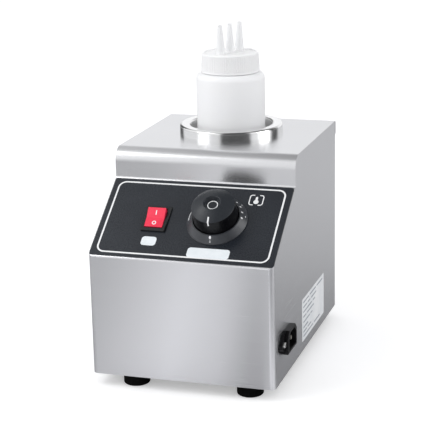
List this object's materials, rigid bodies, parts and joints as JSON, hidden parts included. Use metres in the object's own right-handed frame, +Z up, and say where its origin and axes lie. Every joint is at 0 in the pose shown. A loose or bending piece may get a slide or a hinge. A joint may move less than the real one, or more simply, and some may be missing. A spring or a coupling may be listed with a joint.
{
  "type": "hot fudge topping warmer",
  "caption": "Countertop electric warmer: sheet-steel case with a sloping control panel, rocker switch, thermostat knob and a round heated well that holds a squeeze bottle with a nozzled cap.",
  "frame": {"origin": "on the surface it stands on, at the middle of its whole footprint", "axes": "+Z up, -Y towards the user, +X to the user's right"},
  "size_m": [0.186, 0.2519, 0.3225],
  "materials": {
    "case_steel": "fine brushed stainless sheet",
    "inner_steel": "plain zinc-plated sheet",
    "well_steel": "bright satin stainless",
    "screw_steel": "bright plated steel",
    "foot_rubber": "matt black rubber",
    "black_film": "semi-gloss printed film",
    "pale_plate": "pale plate, bare",
    "label_paper": "satin label",
    "black_plastic": "satin black moulding",
    "knob_plastic": "satin black moulding",
    "red_plastic": "glossy translucent red",
    "brass_blades": "nickel-plated brass",
    "tan_plastic": "ceramic-filled moulding",
    "copper": "drawn copper",
    "heater_steel": "steel-clad mica band",
    "mineral_wool": "needled wool felt",
    "brown_pvc": "wire insulation",
    "blue_pvc": "wire insulation",
    "green_yellow_pvc": "wire insulation",
    "bottle_plastic": "translucent squeeze bottle",
    "cap_plastic": "moulded cap",
    "seal_rubber": "soft seal"
  },
  "bodies": {
    "base": {"base_plate": "inner_steel", "body_wrap": "case_steel", "capillary_tube": "copper", "control_film": "black_film", "corner_brackets": "inner_steel", "cutout_nuts": "screw_steel", "dial_bezel": "black_plastic", "dial_plate": "pale_plate", "earth_lug": "brass_blades", "earth_nut": "screw_steel", "earth_stud": "screw_steel", "foot_front_left": "foot_rubber", "foot_front_right": "foot_rubber", "foot_nuts": "screw_steel", "foot_rear_left": "foot_rubber", "foot_rear_right": "foot_rubber", "foot_screws": "screw_steel", "heater_band": "heater_steel", "heater_clamp_nut": "screw_steel", "heater_clamp_screw": "screw_steel", "inlet_body": "black_plastic", "inlet_nuts": "screw_steel", "inlet_pins": "brass_blades", "inlet_screws": "screw_steel", "insulation_wrap": "mineral_wool", "rating_label": "label_paper", "rear_panel": "case_steel", "rear_screws": "screw_steel", "sensing_bulb": "copper", "switch_housing": "black_plastic", "switch_plate": "pale_plate", "switch_terminals": "brass_blades", "thermal_cutout": "black_plastic", "thermostat_body": "tan_plastic", "thermostat_plate": "inner_steel", "thermostat_screws": "screw_steel", "top_cover": "case_steel", "well_pot": "well_steel", "wire_earth": "green_yellow_pvc", "wire_live_controlled": "brown_pvc", "wire_live_heater": "brown_pvc", "wire_live_supply": "brown_pvc", "wire_live_switched": "brown_pvc", "wire_neutral_heater": "blue_pvc", "wire_neutral_supply": "blue_pvc"},
    "knob": {"knob_cap": "knob_plastic", "thermostat_shaft": "screw_steel"},
    "rocker": {"switch_rocker": "red_plastic"},
    "bottle": {"bottle_body": "bottle_plastic"},
    "cap": {"bottle_cap": "cap_plastic", "cap_seal": "seal_rubber"}
  },
  "joints": [
    {"name": "knob_turn", "type": "hinge", "parent": "base", "child": "knob", "pos_m": [0.0218, -0.08355, 0.15802], "axis": [0, 0.5735, -0.8192], "range_deg": [0, 270]},
    {"name": "rocker_tilt", "type": "hinge", "parent": "base", "child": "rocker", "pos_m": [-0.0376, -0.08545, 0.1562], "axis": [-1, 0, 0], "range_deg": [0, 24]},
    {"name": "bottle_lift", "type": "slide", "parent": "base", "child": "bottle", "axis": [0, 0, 1], "range_m": [0, 0.16]},
    {"name": "cap_lift", "type": "slide", "parent": "bottle", "child": "cap", "axis": [0, 0, 1], "range_m": [0, 0.03]}
  ]
}
